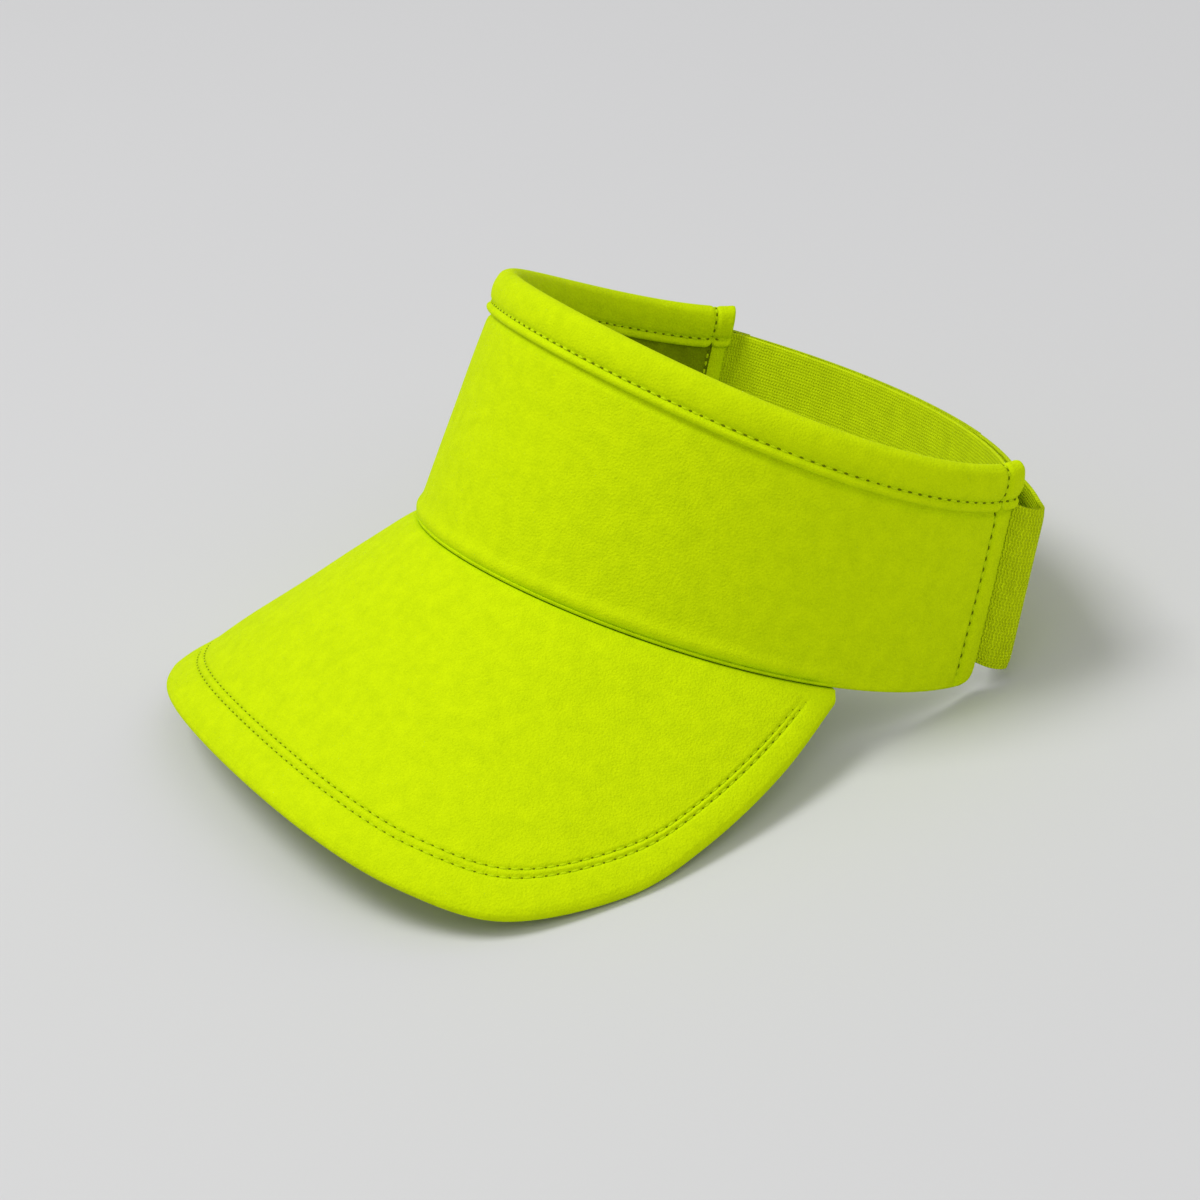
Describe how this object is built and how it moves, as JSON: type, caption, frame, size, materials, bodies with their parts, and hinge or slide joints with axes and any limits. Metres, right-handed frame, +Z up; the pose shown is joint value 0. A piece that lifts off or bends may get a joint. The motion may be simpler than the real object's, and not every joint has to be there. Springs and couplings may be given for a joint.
{
  "type": "sports sun visor",
  "caption": "Open-topped sports sun visor with a padded front band, a wide arched brim and an elastic rear strap that doubles back round a keeper to a hook-and-loop tail.",
  "frame": {"origin": "middle of the visor's outline on the table that it stands on, with the low side edges of the brim and the rear strap's lower edge on the table", "axes": "+Z up, -Y towards the brim's front edge, +X towards the wearer's left"},
  "size_m": [0.197, 0.219, 0.1132],
  "materials": {
    "shell_fabric": "matt brushed knit",
    "binding_fabric": "matt brushed knit, folded and stitched",
    "lining_fabric": "soft matt knit",
    "sweatband_fabric": "short looped towelling",
    "foam": "laminated foam padding",
    "board": "moulded sheet",
    "elastic": "ribbed woven elastic",
    "hook_tape": "moulded hooks on a woven ground",
    "loop_tape": "brushed loops",
    "tape": "woven tape"
  },
  "bodies": {
    "visor": {"band_shell": "shell_fabric", "band_padding": "foam", "band_lining": "lining_fabric", "sweatband": "sweatband_fabric", "top_binding": "binding_fabric", "brim_board": "board", "brim_top_cover": "shell_fabric", "brim_under_cover": "shell_fabric", "seam_tape": "tape", "strap_inner_ply": "elastic", "strap_loop": "elastic", "loop_patch": "loop_tape", "keeper_bar": "tape"},
    "strap_run": {"strap_outer_ply": "elastic"},
    "strap_tail": {"strap_tail": "elastic", "tail_fold": "elastic", "hook_patch": "hook_tape"}
  },
  "joints": [
    {"name": "strap_adjust", "type": "hinge", "parent": "visor", "child": "strap_run", "pos_m": [0, -0.01159, 0.06829], "axis": [0, 0.3958, 0.9183], "range_deg": [0, 6]},
    {"name": "tail_peel", "type": "hinge", "parent": "strap_run", "child": "strap_tail", "pos_m": [-0.0178, 0.09983, 0.02023], "axis": [0, -0.3958, -0.9183], "range_deg": [0, 60]}
  ]
}
